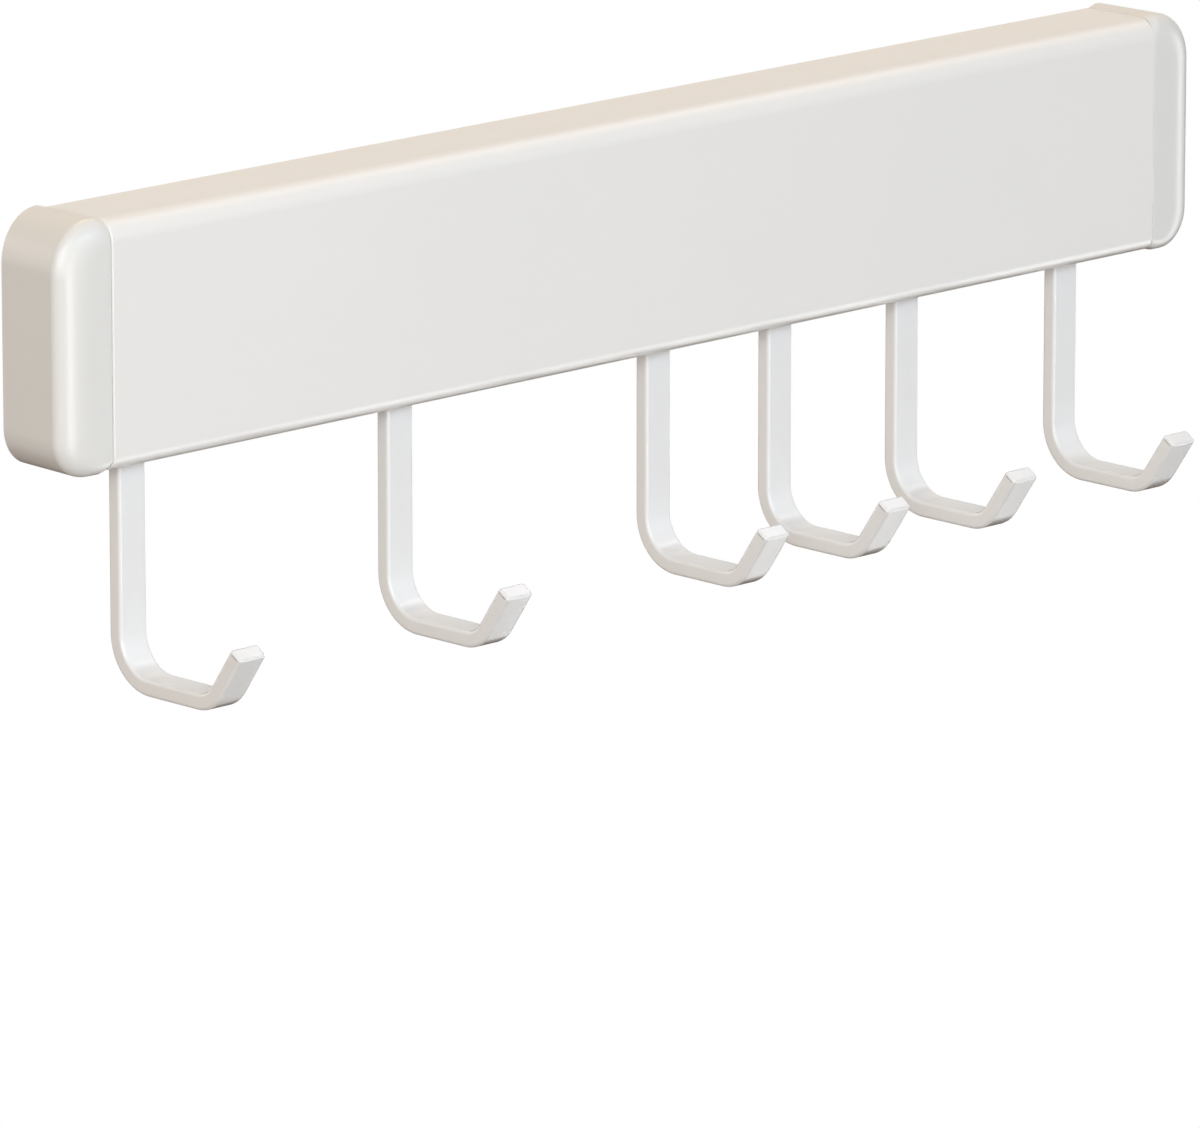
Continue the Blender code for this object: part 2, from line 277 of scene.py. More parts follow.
peel = add_node(
    powder_coat,
    "ShaderNodeBump",
    {
        "Height": grain.outputs["Fac"],
        "Strength": 0.2,
        "Distance": 0.01 * MM,
        "Normal": ripple.outputs["Normal"],
    },
)
skin = add_node(
    powder_coat,
    "ShaderNodeBsdfPrincipled",
    {
        "Base Color": tint.outputs[MIXED_COLOUR],
        "Roughness": gloss.outputs["Result"],
        "Normal": peel.outputs["Normal"],
        "IOR": 1.5,
    },
)
add_node(powder_coat, "ShaderNodeOutputMaterial", {"Surface": skin.outputs["BSDF"]})
print("finish:", powder_coat.name)

# %% [markdown]
# ### Moulded ABS
# The caps are injection moulded. Spark erosion leaves a fine, even grain in the steel of the mould, and the
# plastic copies it. Real grain is about 0.1 mm, too fine to show, so it is drawn at 0.25 mm. It is very
# shallow: the caps look a little softer than the rail but still show a clear highlight on their round edges.
# ABS has an index of refraction of 1.54.

# %% ABS
cap_plastic = new_finish("white_moulded_abs")
place = add_node(cap_plastic, "ShaderNodeTexCoord").outputs["Object"]
SPARK_SIZE = 0.25 * MM
FLOW_SIZE = 18.0 * MM
sparks = add_node(
    cap_plastic,
    "ShaderNodeTexNoise",
    {"Vector": place, "Scale": 1 / SPARK_SIZE, "Detail": 2.0},
)
flow = add_node(
    cap_plastic,
    "ShaderNodeTexNoise",
    {"Vector": place, "Scale": 1 / FLOW_SIZE, "Detail": 2.0},
)
tint = add_node(
    cap_plastic,
    "ShaderNodeMix",
    {MIX_SHARE: flow.outputs["Fac"], MIX_FIRST: colour("#E2E2DF"), MIX_SECOND: colour("#E5E5E2")},
    data_type="RGBA",
)
gloss = add_node(
    cap_plastic,
    "ShaderNodeMapRange",
    {"Value": sparks.outputs["Fac"], "To Min": 0.30, "To Max": 0.36},
)
texture = add_node(
    cap_plastic,
    "ShaderNodeBump",
    {"Height": sparks.outputs["Fac"], "Strength": 0.2, "Distance": 0.008 * MM},
)
plastic = add_node(
    cap_plastic,
    "ShaderNodeBsdfPrincipled",
    {
        "Base Color": tint.outputs[MIXED_COLOUR],
        "Roughness": gloss.outputs["Result"],
        "Normal": texture.outputs["Normal"],
        "IOR": 1.54,
    },
)
add_node(cap_plastic, "ShaderNodeOutputMaterial", {"Surface": plastic.outputs["BSDF"]})
print("finish:", cap_plastic.name)

# %% [markdown]
# ### Stove enamel on the hooks
# The hooks are cast in zinc, trimmed, dipped and stoved. The enamel levels better than powder, so it shines
# more, with soft waves about 5 mm long where the casting under it isn't quite flat.

# %% Enamel
hook_enamel = new_finish("white_stove_enamel")
place = add_node(hook_enamel, "ShaderNodeTexCoord").outputs["Object"]
CAST_WAVE = 5.0 * MM
SPECK_SIZE = 0.6 * MM
cast = add_node(
    hook_enamel,
    "ShaderNodeTexNoise",
    {"Vector": place, "Scale": 1 / CAST_WAVE, "Detail": 1.0},
)
specks = add_node(
    hook_enamel,
    "ShaderNodeTexNoise",
    {"Vector": place, "Scale": 1 / SPECK_SIZE, "Detail": 2.0},
)
tint = add_node(
    hook_enamel,
    "ShaderNodeMix",
    {MIX_SHARE: cast.outputs["Fac"], MIX_FIRST: colour("#EDEEEE"), MIX_SECOND: colour("#F0F1F1")},
    data_type="RGBA",
)
gloss = add_node(
    hook_enamel,
    "ShaderNodeMapRange",
    {"Value": specks.outputs["Fac"], "To Min": 0.18, "To Max": 0.24},
)
sag = add_node(
    hook_enamel,
    "ShaderNodeBump",
    {"Height": cast.outputs["Fac"], "Strength": 0.3, "Distance": 0.03 * MM},
)
enamel = add_node(
    hook_enamel,
    "ShaderNodeBsdfPrincipled",
    {
        "Base Color": tint.outputs[MIXED_COLOUR],
        "Roughness": gloss.outputs["Result"],
        "Normal": sag.outputs["Normal"],
        "IOR": 1.52,
    },
)
add_node(hook_enamel, "ShaderNodeOutputMaterial", {"Surface": enamel.outputs["BSDF"]})
print("finish:", hook_enamel.name)

# %% [markdown]
# ### Nylon
# The glides are natural nylon, a milky cream that lets a little light in. They show only as slivers in the
# slot. Sliding scores them with fine scratches along the rail, drawn here as a noise that is stretched along
# X. Real scratches lie closer together than these 0.3 mm, which is as coarse as they need to be to show.

# %% Nylon
glide_nylon = new_finish("natural_nylon_6")
place = add_node(glide_nylon, "ShaderNodeTexCoord").outputs["Object"]
SCRATCH_SPACING = 0.3 * MM
SCRATCH_STRETCH = 20.0
stretched = add_node(
    glide_nylon,
    "ShaderNodeMapping",
    {"Vector": place, "Scale": (1 / SCRATCH_STRETCH, 1.0, 1.0)},
)
scratches = add_node(
    glide_nylon,
    "ShaderNodeTexNoise",
    {"Vector": stretched.outputs["Vector"], "Scale": 1 / SCRATCH_SPACING, "Detail": 2.0},
)
tint = add_node(
    glide_nylon,
    "ShaderNodeMix",
    {MIX_SHARE: scratches.outputs["Fac"], MIX_FIRST: colour("#DFDBCF"), MIX_SECOND: colour("#E6E2D7")},
    data_type="RGBA",
)
gloss = add_node(
    glide_nylon,
    "ShaderNodeMapRange",
    {"Value": scratches.outputs["Fac"], "To Min": 0.35, "To Max": 0.55},
)
scored = add_node(
    glide_nylon,
    "ShaderNodeBump",
    {"Height": scratches.outputs["Fac"], "Strength": 0.3, "Distance": 0.01 * MM},
)
nylon = add_node(
    glide_nylon,
    "ShaderNodeBsdfPrincipled",
    {
        "Base Color": tint.outputs[MIXED_COLOUR],
        "Roughness": gloss.outputs["Result"],
        "Normal": scored.outputs["Normal"],
        "IOR": 1.53,
        "Subsurface Weight": 0.15,
        "Subsurface Radius": (2.0 * MM, 1.8 * MM, 1.4 * MM),
        "Subsurface Scale": 1.0,
    },
)
add_node(glide_nylon, "ShaderNodeOutputMaterial", {"Surface": nylon.outputs["BSDF"]})
print("finish:", glide_nylon.name)

# %% [markdown]
# ### Painting a piece
# Faces that meet at less than 40 degrees are shaded as one curve, and weighted normals keep the large flat
# faces flat beside the narrow round ones. The piece then gets its finish, and is told which body it rides on
# and which solid it stands for.

# %% Dress a finished piece
SHARP_ANGLE = math.radians(40)


def dress(piece, material, body, slot, *nodes):
    """Smooths and paints a piece, and lets it stand for its solid on a body."""
    fresh(piece)
    bpy.ops.object.shade_smooth_by_angle(angle=SHARP_ANGLE)
    level = piece.modifiers.new("level", "WEIGHTED_NORMAL")
    level.keep_sharp = True
    bpy.ops.object.modifier_apply(modifier=level.name)
    piece.data.materials.clear()
    piece.data.materials.append(material)
    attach(piece, body)
    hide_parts(*nodes)
    describe(piece)


# %% [markdown]
# ## The rail
# The real rail is an aluminium extrusion: metal pushed through a die, so one section runs its whole length.
# It has two closed cells, a channel that is open below through a slot, and a front that is rounded by 6 mm
# above and 4.2 mm below. Two keyholes are milled through its back for the wall screws. It is modelled in the
# same order: a bar with its edges rounded, out of which long boxes cut the cells, the channel and the slot.
# The sawn ends are rounded by 0.5 mm, which shows as a thin light line along the seam of each cap.

# %% The bar
rail_low, rail_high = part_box("rail")
EDGE_RADIUS = 6.0 * MM
LOWER_RADIUS = 4.2 * MM
BACK_RADIUS = 0.6 * MM
WALL = 1.8 * MM
WEB = 1.5 * MM
rail = add_box("rail_profile", rail_low, rail_high)


def long_edge(y, z):
    """A test for the edges that run along the rail at this depth and height."""
    return lambda edge: lies_at(Y, y)(edge) and lies_at(Z, z)(edge)


soften(rail, EDGE_RADIUS, long_edge(rail_low.y, rail_high.z), segments=16)
soften(rail, LOWER_RADIUS, long_edge(rail_low.y, rail_low.z), segments=12)
for z in (rail_low.z, rail_high.z):
    soften(rail, BACK_RADIUS, long_edge(rail_high.y, z), segments=4)
END_RADIUS = 0.5 * MM
soften(rail, END_RADIUS, either(lies_at(X, rail_low.x), lies_at(X, rail_high.x)), segments=5)

# %% [markdown]
# Each cutting box reaches past both ends of the rail, because a cut whose faces lie in the rail's own faces
# leaves slivers. The upper cell's front corner keeps the wall's thickness round the bend.

# %% Cells, channel and slot
PAST = 2.0 * MM
OVERLAP = 1.0 * MM
INNER_FRONT = rail_low.y + WALL
INNER_BACK = -WALL
CHANNEL_LOW = rail_low.z + 4.0 * MM
CHANNEL_HIGH = rail_low.z + 10.4 * MM
SLOT_FRONT = rail_low.y + EDGE_RADIUS
SLOT_BACK = SLOT_FRONT + 5.4 * MM
REAR_LIP = SLOT_BACK + 4.8 * MM
LOWER_CELL_LOW = CHANNEL_HIGH + WEB
LOWER_CELL_HIGH = LOWER_CELL_LOW + 26.15 * MM
hollows = {
    "channel": ((INNER_FRONT, CHANNEL_LOW), (INNER_BACK, CHANNEL_HIGH)),
    "rear_pocket": ((REAR_LIP, rail_low.z + WALL), (INNER_BACK, CHANNEL_LOW + OVERLAP)),
    "slot": ((SLOT_FRONT, rail_low.z - PAST), (SLOT_BACK, CHANNEL_LOW + OVERLAP)),
    "lower_cell": ((INNER_FRONT, LOWER_CELL_LOW), (INNER_BACK, LOWER_CELL_HIGH)),
    "upper_cell": ((INNER_FRONT, LOWER_CELL_HIGH + WEB), (INNER_BACK, rail_high.z - WALL)),
}
for name, (low, high) in hollows.items():
    cutter = add_box(name, (rail_low.x - PAST, *low), (rail_high.x + PAST, *high))
    if name == "upper_cell":
        soften(cutter, EDGE_RADIUS - WALL, long_edge(low[0], high[1]), segments=12)
    combine(rail, cutter)
describe(rail)

# %% [markdown]
# A keyhole lets a screw's head in at the bottom and holds its shank in the neck above. The neck's cutter
# starts as a cylinder whose lower half is moved down to the middle of the round hole.

# %% Keyholes
KEYHOLE_X = 150.0 * MM
NECK_Z = 23.625 * MM
DROP = 9.5 * MM
NECK_RADIUS = 2.3 * MM
HEAD_RADIUS = 4.8 * MM
for side in (-1, 1):
    for radius, z, move in ((NECK_RADIUS, NECK_Z, DROP), (HEAD_RADIUS, NECK_Z - DROP, 0.0)):
        fresh()
        bpy.ops.mesh.primitive_cylinder_add(
            vertices=48,
            radius=radius,
            depth=WALL + 2 * PAST,
            location=(side * KEYHOLE_X, -WALL / 2, z),
            rotation=(QUARTER_TURN, 0, 0),
        )
        bpy.ops.object.transform_apply(location=True, rotation=True, scale=True)
        cutter = bpy.context.active_object
        bpy.ops.object.mode_set(mode="EDIT")
        choose("VERT", lambda v: v.co.z < z - TOLERANCE)
        bpy.ops.transform.translate(value=(0, 0, -move))
        combine(rail, cutter)
print("keyholes at x =", [-KEYHOLE_X / MM, KEYHOLE_X / MM], "mm")

# %% [markdown]
# Powder coat can't follow a sharp edge, so the slot's lips look slightly rounded too.

# %% Round the slot's lips
LIP_EDGE = 0.3 * MM
slot_lips = either(long_edge(SLOT_FRONT, rail_low.z), long_edge(SLOT_BACK, rail_low.z))
soften(rail, LIP_EDGE, slot_lips, segments=3)
dress(rail, powder_coat, "root", "powder_coat", "rail")

# %% [markdown]
# ## The hooks
# Each hook has the form of a flat bar bent into a J, with a T-shaped head that hangs in the channel. It is
# drawn from the side as a ribbon: one short edge across the bar's thickness is extruded down, spun round the
# large bend, extruded forwards, spun round the small bend and extruded up to the tip. The ribbon then gets
# its width.

# %% The hook's sizes
HOOK_NUMBERS = range(1, 7)
hook_low, hook_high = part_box("hook_1")
HOOK_WIDTH = hook_high.x - hook_low.x
THICKNESS = 4.5 * MM
HEAD_THICKNESS = 4.0 * MM
HEAD_OVERHANG = 3.8 * MM
STEM_BACK = hook_high.y - HEAD_OVERHANG
STEM_FRONT = STEM_BACK - THICKNESS
HEAD_BOTTOM = hook_high.z - HEAD_THICKNESS
BEND_RADIUS = 15.2 * MM
TIP_RADIUS = 11.5 * MM
ARM_REACH = 34.1 * MM
TIP_ANGLE = math.radians(55.5)
TIP_LENGTH = 13.8 * MM
TIP_CORNER = 0.8 * MM
HOOK_EDGE = 1.0 * MM
BEND_CENTRE = Vector((hook_low.x, STEM_BACK - BEND_RADIUS, hook_low.z + BEND_RADIUS))
TIP_CENTRE = Vector((hook_low.x, STEM_BACK - ARM_REACH, hook_low.z + TIP_RADIUS))
print(f"stem from y = {STEM_FRONT / MM:.2f} mm to {STEM_BACK / MM:.2f} mm, width {HOOK_WIDTH / MM:.2f} mm")

# %% Draw the ribbon
fresh()
bpy.ops.mesh.primitive_plane_add(size=1, location=(hook_low.x, 0, 0), rotation=(0, QUARTER_TURN, 0))
bpy.ops.object.transform_apply(location=True, rotation=True, scale=True)
pattern = bpy.context.active_object
pattern.name = "hook_pattern"
for vertex in pattern.data.vertices:
    vertex.co.y = STEM_BACK if vertex.co.y > 0 else STEM_FRONT
    vertex.co.z = hook_high.z if vertex.co.z > 0 else HEAD_BOTTOM
bpy.ops.object.mode_set(mode="EDIT")
choose("EDGE", lies_at(Z, HEAD_BOTTOM))
bpy.ops.mesh.extrude_region_move(TRANSFORM_OT_translate={"value": (0, 0, BEND_CENTRE.z - HEAD_BOTTOM)})
bpy.ops.mesh.spin(steps=24, angle=QUARTER_TURN, center=BEND_CENTRE, axis=(1, 0, 0))
print("after the large bend:", len(bmesh.from_edit_mesh(pattern.data).faces), "faces")
bpy.ops.mesh.extrude_region_move(TRANSFORM_OT_translate={"value": (0, TIP_CENTRE.y - BEND_CENTRE.y, 0)})
bpy.ops.mesh.spin(steps=16, angle=TIP_ANGLE, center=TIP_CENTRE, axis=(1, 0, 0))
forward = Vector((0, -math.cos(TIP_ANGLE), math.sin(TIP_ANGLE)))
bpy.ops.mesh.extrude_region_move(TRANSFORM_OT_translate={"value": forward * TIP_LENGTH})
print("with the tip:", len(bmesh.from_edit_mesh(pattern.data).faces), "faces")

# %% [markdown]
# The tip's two corners are rounded while the ribbon is still flat. The head's bar grows from the two short
# upright edges above the stem.

# %% Corners and head
MERGE_DISTANCE = 0.001 * MM
choose("VERT", lambda v: (v.co - TIP_CENTRE).dot(forward) > TIP_LENGTH - TOLERANCE)
bpy.ops.mesh.bevel(offset=TIP_CORNER, segments=6, profile=0.5, affect="VERTICES")
for side_y, overhang in ((STEM_FRONT, -HEAD_OVERHANG), (STEM_BACK, HEAD_OVERHANG)):
    choose("EDGE", lambda e: lies_at(Y, side_y)(e) and min(v.co.z for v in e.verts) > HEAD_BOTTOM - TOLERANCE)
    bpy.ops.mesh.extrude_region_move(TRANSFORM_OT_translate={"value": (0, overhang, 0)})
bpy.ops.mesh.select_all(action="SELECT")
bpy.ops.mesh.remove_doubles(threshold=MERGE_DISTANCE)
bpy.ops.mesh.extrude_region_move(TRANSFORM_OT_translate={"value": (HOOK_WIDTH, 0, 0)})
bpy.ops.mesh.select_all(action="SELECT")
bpy.ops.mesh.normals_make_consistent(inside=False)
bpy.ops.object.mode_set(mode="OBJECT")
describe(pattern)

# %% [markdown]
# The bar's long edges are rounded by 1 mm on both sides, because enamel runs off a sharp edge. These are the
# lines that catch the light.

# %% Round the bar's edges
SIDEWAYS = 0.9


def side_outline(edge):
    """True for an edge between one of the two flat sides and what surrounds it."""
    flat = [abs(face.normal.x) > SIDEWAYS for face in edge.link_faces]
    return len(flat) == 2 and flat[0] != flat[1]


soften(pattern, HOOK_EDGE, side_outline, segments=5)

# %% [markdown]
# The six hooks are alike, so the pattern is copied to each hook's place. Every copy has its own mesh.

# %% Copy the pattern six times
for number in HOOK_NUMBERS:
    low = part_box(f"hook_{number}")[0]
    fresh(pattern)
    bpy.ops.object.duplicate()
    bar = bpy.context.active_object
    bar.name = f"hook_bar_{number}"
    bpy.ops.transform.translate(value=(low.x - hook_low.x, 0, 0))
    bpy.ops.object.transform_apply(location=True, rotation=True, scale=True)
    dress(bar, hook_enamel, f"hook_{number}_body", "hook_enamel", f"hook_{number}")
bpy.data.objects.remove(pattern)

# %% [markdown]
# ## The end caps
# Each cap is one ABS moulding. It is flush with the rail at the seam and stands 0.8 mm above and below it
# after the first 3 mm, and wide corners lead into its outer side. That side leans out by 2 mm towards the
# front, so that the cap slips out of its mould, and the front rolls over into it in a long, flat curve that
# is 10.5 mm wide but only 4.8 mm deep. A bevel can't give such a curve, so the cap is drawn as its outline on
# the wall and then extruded towards the front in steps, and each step is scaled a little.

# %% The right cap's outline
cap_low, cap_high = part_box("end_cap_right")
SEAM = 0.2 * MM
CAP_START = rail_high.x + SEAM
UPPER_CORNER = 14.0 * MM
LOWER_CORNER = 11.0 * MM
RISE_END = CAP_START + 3.0 * MM
columns = {-1: CAP_START, 0: RISE_END, 1: cap_high.x}
fresh()
bpy.ops.mesh.primitive_grid_add(x_subdivisions=2, y_subdivisions=1, size=1, rotation=(QUARTER_TURN, 0, 0))
bpy.ops.object.transform_apply(location=True, rotation=True, scale=True)
cap = bpy.context.active_object
cap.name = "cap_right"
for vertex in cap.data.vertices:
    column = round(2 * vertex.co.x)
    low_z, high_z = (rail_low.z, rail_high.z) if column == -1 else (cap_low.z, cap_high.z)
    vertex.co = (columns[column], 0, high_z if vertex.co.z > 0 else low_z)
points_before = len(cap.data.vertices)
bpy.ops.object.mode_set(mode="EDIT")
for z, radius, segments in ((cap_high.z, UPPER_CORNER, 20), (cap_low.z, LOWER_CORNER, 16)):
    choose("VERT", lambda v: near(v.co.x, cap_high.x) and near(v.co.z, z))
    bpy.ops.mesh.bevel(offset=radius, segments=segments, profile=0.5, affect="VERTICES")
points_after = len(bmesh.from_edit_mesh(cap.data).verts)
print("points of the outline:", points_before, "with square corners,", points_after, "with round ones")

# %% [markdown]
# The scale's centre lies on the seam, so the side that faces the rail stays in its plane. In height it lies
# below the middle, because the rim draws in by 7 mm at the top and by 4.2 mm at the bottom. Each ring is a
# depth, a share of the cap's full width and a share of its height.

# %% Extrude it to the front
FLARE = 2.0 * MM
RIM_DEPTH = 4.8 * MM
RIM_SIDE = 10.5 * MM
RIM_TOP = 7.0 * MM
RIM_BOTTOM = 4.2 * MM
RIM_STEPS = 18
THIN_EDGE = 0.2 * MM
cap_width = cap_high.x - CAP_START
cap_height = cap_high.z - cap_low.z
centre = (CAP_START, 0, cap_high.z - cap_height * RIM_TOP / (RIM_TOP + RIM_BOTTOM))
rings = [(0.0, 1 - FLARE / cap_width, 1.0), (cap_low.y + RIM_DEPTH, 1.0, 1.0)]
for step in range(1, RIM_STEPS + 1):
    angle = QUARTER_TURN * step / RIM_STEPS
    drawn_in = 1 - math.cos(angle)
    y = cap_low.y + RIM_DEPTH * (1 - math.sin(angle))
    width_share = 1 - RIM_SIDE * drawn_in / cap_width
    height_share = 1 - (RIM_TOP + RIM_BOTTOM) * drawn_in / cap_height
    rings.append((y, width_share, height_share))
bpy.ops.mesh.select_all(action="SELECT")
bpy.ops.transform.resize(value=(rings[0][1], 1, 1), center_override=centre)
for (y, width, height), (next_y, next_width, next_height) in zip(rings, rings[1:]):
    bpy.ops.mesh.extrude_region_move(TRANSFORM_OT_translate={"value": (0, next_y - y, 0)})
    ratio = (next_width / width, 1, next_height / height)
    bpy.ops.transform.resize(value=ratio, center_override=centre)
choose("FACE", lies_at(X, CAP_START))
bpy.ops.mesh.dissolve_faces()
bpy.ops.mesh.select_all(action="SELECT")
bpy.ops.mesh.normals_make_consistent(inside=False)
bpy.ops.object.mode_set(mode="OBJECT")
soften(cap, THIN_EDGE, either(lies_at(Y, cap_high.y), lies_at(X, CAP_START)), segments=3)
describe(cap)

# %% [markdown]
# A hollow spigot goes into each of the rail's two cells with 0.3 mm of play, and a stop closes the end of the
# channel. All three start as boxes that reach 2 mm into the cap, so that the union has solid to join. The
# hollows of the spigots reach 5.7 mm into the cap, because a moulding is cored to keep its walls even.

# %% Spigots and stop
FIT = 0.3 * MM
SPIGOT_END = cap_low.x
SPIGOT_WALL = 1.8 * MM
ROOT_END = CAP_START + 2.0 * MM
CORE_END = CAP_START + 5.7 * MM
STOP_END = rail_high.x - 3.0 * MM
for name in ("lower_cell", "upper_cell"):
    low, high = hollows[name]
    spigot_low = (SPIGOT_END, low[0] + FIT, low[1] + FIT)
    spigot = add_box(name, spigot_low, (ROOT_END, high[0] - FIT, high[1] - FIT))
    if name == "upper_cell":
        soften(spigot, EDGE_RADIUS - WALL - FIT, long_edge(low[0] + FIT, high[1] - FIT), segments=8)
    combine(cap, spigot, "UNION")
    inset = FIT + SPIGOT_WALL
    core_low = (SPIGOT_END - PAST, low[0] + inset, low[1] + inset)
    core = add_box(name, core_low, (CORE_END, high[0] - inset, high[1] - inset))
    combine(cap, core)
stop_low = (STOP_END, INNER_FRONT + FIT, CHANNEL_LOW + FIT)
stop = add_box("hook_stop", stop_low, (ROOT_END, REAR_LIP, CHANNEL_HIGH - FIT))
combine(cap, stop, "UNION")
describe(cap)

# %% [markdown]
# The left cap is the right one mirrored. Mirroring turns the faces inside out, so they are turned back.

# %% Mirror it for the left end
fresh(cap)
bpy.ops.object.duplicate()
left_cap = bpy.context.active_object
left_cap.name = "cap_left"
bpy.ops.object.mode_set(mode="EDIT")
bpy.ops.mesh.select_all(action="SELECT")
bpy.ops.transform.resize(value=(-1, 1, 1), center_override=(0, 0, 0))
bpy.ops.mesh.normals_make_consistent(inside=False)
bpy.ops.object.mode_set(mode="OBJECT")
dress(cap, cap_plastic, "root", "cap_plastic", "end_cap_right")
dress(left_cap, cap_plastic, "root", "cap_plastic", "end_cap_left")

# %% [markdown]
# ## The glides
# The nylon shoes lie between each hook's head and the slot's lips. Their solids already have the right shape,
# so they only get the nylon.

# %% Paint the glides
for number in HOOK_NUMBERS:
    node = frame["nodes"][f"glide_{number}"]
    node.data.materials.clear()
    node.data.materials.append(glide_nylon)
print("glides painted")

# %% [markdown]
# ## Floor and world
# The rack hangs on a wall, so the floor is far below it. It lies deep enough for a camera to look up at the
# rack from below and still be above the floor. The background of the photograph is plain white. Light Path
# tells the rays of the camera from those that light the rack, so the background is white at strength 1 while
# the light on the rack keeps its own level.

# %% Floor
FLOOR_Z = -6.0
FLOOR_SIZE = 400.0
bpy.ops.mesh.primitive_plane_add(size=FLOOR_SIZE, location=(0, 0, FLOOR_Z))
floor = bpy.context.active_object
floor.name = "floor"
floor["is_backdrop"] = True
pale_floor = new_finish("pale_floor")


def seen_directly(owner):
    """1 for rays of the camera and those that glossy and clear surfaces send on, 0 for the rest."""
    rays = add_node(owner, "ShaderNodeLightPath").outputs
    sent_on = {0: rays["Is Glossy Ray"], 1: rays["Is Transmission Ray"]}
    shiny = add_node(owner, "ShaderNodeMath", sent_on, operation="MAXIMUM")
    any_of_them = {0: rays["Is Camera Ray"], 1: shiny.outputs[0]}
    return add_node(owner, "ShaderNodeMath", any_of_them, operation="MAXIMUM").outputs[0]


white = add_node(pale_floor, "ShaderNodeEmission", {"Color": colour("#FFFFFF"), "Strength": 1.0})
paper = add_node(pale_floor, "ShaderNodeBsdfDiffuse", {"Color": colour("#C2BEBA")})
both = add_node(
    pale_floor,
    "ShaderNodeMixShader",
    {0: seen_directly(pale_floor), 1: paper.outputs[0], 2: white.outputs[0]},
)
add_node(pale_floor, "ShaderNodeOutputMaterial", {"Surface": both.outputs[0]})
floor.data.materials.append(pale_floor)
print("floor at z =", FLOOR_Z, "m, with", pale_floor.name)

# %% World
world = bpy.data.worlds.new("studio")
bpy.context.scene.world = world
world.use_nodes = True
world.node_tree.nodes.clear()
room = add_node(world, "ShaderNodeBackground", {"Color": colour("#FFE7CF"), "Strength": 0.4})
backdrop = add_node(world, "ShaderNodeBackground", {"Color": colour("#FFFFFF"), "Strength": 1.0})
mixed = add_node(
    world,
    "ShaderNodeMixShader",
    {0: seen_directly(world), 1: room.outputs[0], 2: backdrop.outputs[0]},
)
add_node(world, "ShaderNodeOutputWorld", {"Surface": mixed.outputs[0]})
print("world:", world.name)

# %% [markdown]
# ## Light
# The room gives a warm, even light, which is what the left cap's side shows. A large key lamp in front and to
# the left lights the front. A weaker, bluish one beside it makes up for the warm room, so that the front
# turns out neutral, and a warm lamp behind and above colours the top. The back and the right end, which the
# photograph doesn't show, get two more lamps, and one of them leaves the reflections alone, so that the
# outlines stay dark. Each lamp stands on a line from the rack, given as a direction, and faces it.

# %% Lamps
LAMP_DISTANCE = 2.6


def add_softbox(name, direction, size, watts, code, matt=True, shine=True):
    """A soft box that faces the rack and isn't seen itself. It lights matt surfaces, shiny ones or both."""
    fresh()
    place = Vector(direction).normalized() * LAMP_DISTANCE
    turn = (-place).to_track_quat("-Z", "Y").to_euler()
    bpy.ops.object.light_add(type="AREA", location=place, rotation=turn)
    lamp = bpy.context.active_object
    lamp.name = name
    lamp.data.shape = "RECTANGLE"
    lamp.data.size, lamp.data.size_y = size
    lamp.data.energy = watts
    lamp.data.color = colour(code)[:3]
    lamp.visible_camera = False
    lamp.visible_diffuse = matt
    lamp.visible_glossy = shine
    print(f"{name}: {watts} W at", [round(value, 2) for value in place])


add_softbox("key", (-0.60, -0.75, 0.30), (1.8, 1.8), 48.0, "#FBFDFF")
add_softbox("front_fill", (0.20, -0.90, 0.39), (1.0, 1.0), 15.0, "#B4DEFF")
add_softbox("warm_top", (0.30, 0.45, 0.84), (1.0, 1.0), 13.0, "#FFD386")
add_softbox("back_fill", (-0.30, 0.93, 0.12), (1.2, 1.2), 17.0, "#EAE4E0")
add_softbox("end_fill", (0.62, 0.78, -0.05), (1.2, 1.2), 28.0, "#DCEBFF", shine=False)

# %% [markdown]
# Round edges show a lamp as a bright line. Five strips are there for these lines alone: only shiny
# reflections see them, so they don't wash out the flat faces.

# %% Strips for the bright lines
add_softbox("cap_line", (-0.10, -0.96, -0.20), (0.45, 1.4), 16.5, "#FFFAF2", matt=False)
add_softbox("right_line", (0.93, -0.27, -0.24), (0.12, 1.4), 12.0, "#F8FBFF", matt=False)
add_softbox("tip_light", (0.68, -0.02, -0.74), (1.4, 0.3), 2.6, "#F9FEFF", matt=False)
add_softbox("lower_line", (0.68, -0.43, -0.59), (1.4, 0.8), 17.0, "#F9FEFF", matt=False)
add_softbox("upper_line", (0.68, -0.05, 0.73), (1.2, 0.4), 4.0, "#FFF9FE", matt=False)

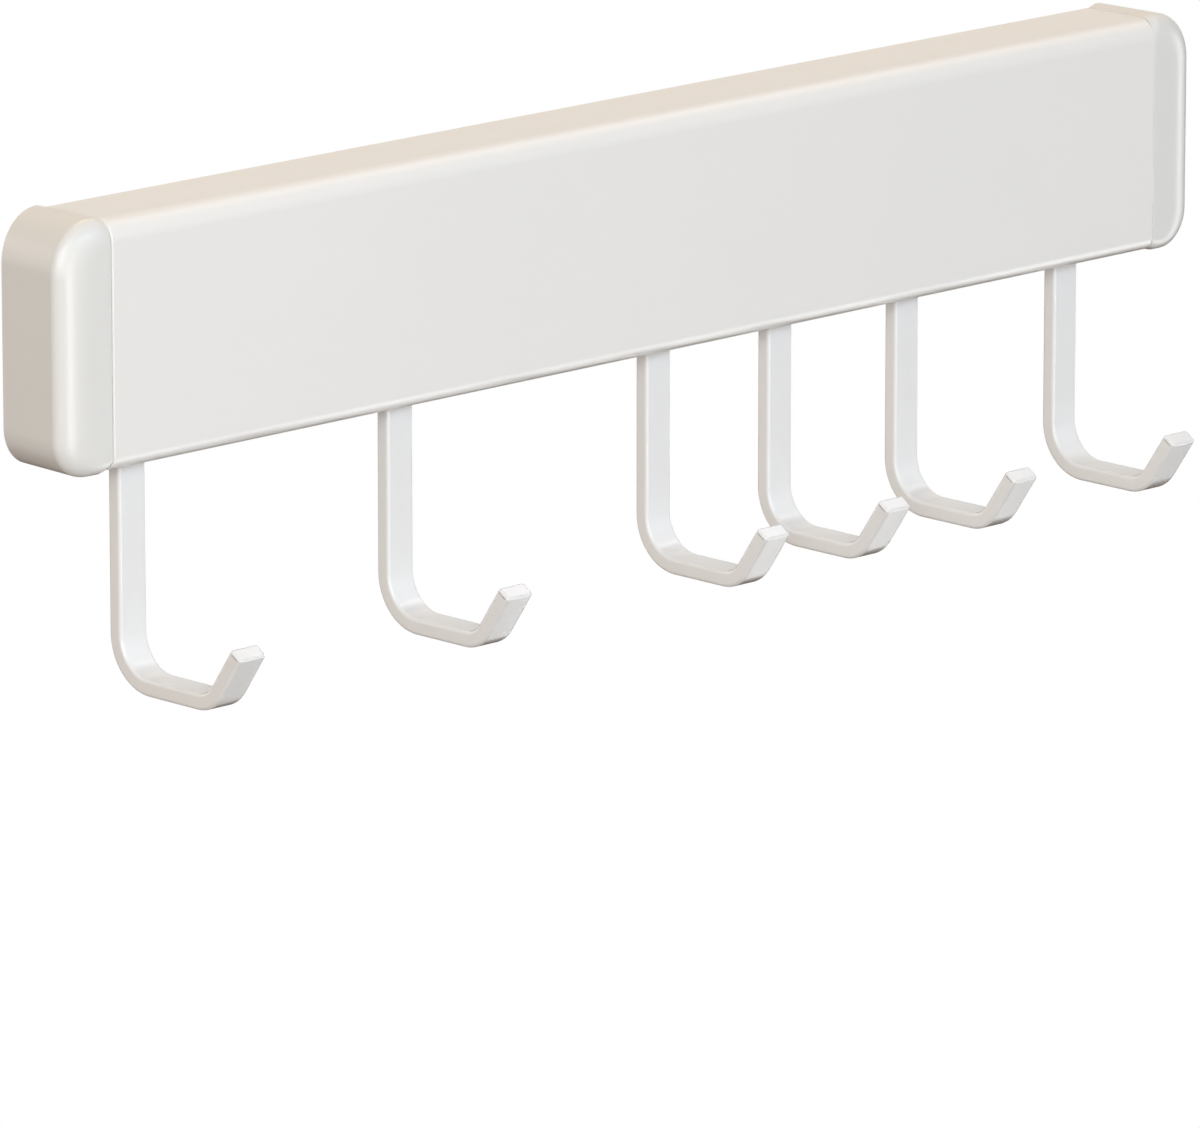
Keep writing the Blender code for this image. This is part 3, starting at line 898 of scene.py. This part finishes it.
# %% [markdown]
# ## Camera
# The view was worked out from the rail's edges in the photograph: the camera stands 3.1 m away, turned 44.3
# degrees to the left of the rail's front and 13.7 degrees above it, with a long lens.

# %% Camera
EYE = (-2.0926, -2.1492, 0.6319)
LOOK = Vector((0.67855, 0.69557, -0.23612))
LENS = 333.1
FAR_END = 1000.0
bpy.ops.object.camera_add(location=EYE, rotation=LOOK.to_track_quat("-Z", "Y").to_euler())
camera = bpy.context.active_object
camera.name = "camera"
camera.data.lens = LENS
camera.data.clip_end = FAR_END
bpy.context.scene.camera = camera
print(f"camera {Vector(EYE).length:.2f} m from the rail's middle, lens {LENS} mm")

# %% [markdown]
# ## Cards for the outlines
# A white object in front of white paper loses its outline. Photographers then hang dark cards where only the
# object's edges mirror them. As the camera sees it, one card hangs right behind the rack and one behind it to
# the left. Only shiny reflections see them, so they take no light away.

# %% Dark cards
CARD_DISTANCE = 1.2
black_felt = new_finish("black_felt")
felt = add_node(black_felt, "ShaderNodeBsdfDiffuse", {"Color": colour("#1E1C1B")})
add_node(black_felt, "ShaderNodeOutputMaterial", {"Surface": felt.outputs[0]})


def add_card(name, direction, size):
    """A black card that faces the rack and is seen only in reflections."""
    fresh()
    place = Vector(direction).normalized() * CARD_DISTANCE
    turn = (-place).to_track_quat("Z", "Y").to_euler()
    bpy.ops.mesh.primitive_plane_add(size=1, location=place, rotation=turn)
    card = bpy.context.active_object
    card.name = name
    card.scale = (*size, 1.0)
    card.data.materials.append(black_felt)
    for kind in ("camera", "diffuse", "transmission", "shadow"):
        setattr(card, f"visible_{kind}", False)
    card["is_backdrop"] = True
    print(f"{name}: {size} m at", [round(value, 2) for value in place])


add_card("card_behind", (0.66, 0.62, -0.42), (1.5, 1.1))
add_card("card_left", (0.06, 0.97, -0.20), (0.8, 1.4))

# %% [markdown]
# ## Sizes
# The finished pieces should fill the same box as the measured solids, so both boxes are printed.

# %% Finish
bpy.context.scene.view_settings.view_transform = "Standard"
fresh()
sizes = {"cad": [list(corner) for corner in cad_box], "visual": [list(corner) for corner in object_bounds()]}
for name, box in sizes.items():
    print(name, "box in mm:", [[round(value / MM, 2) for value in corner] for corner in box])
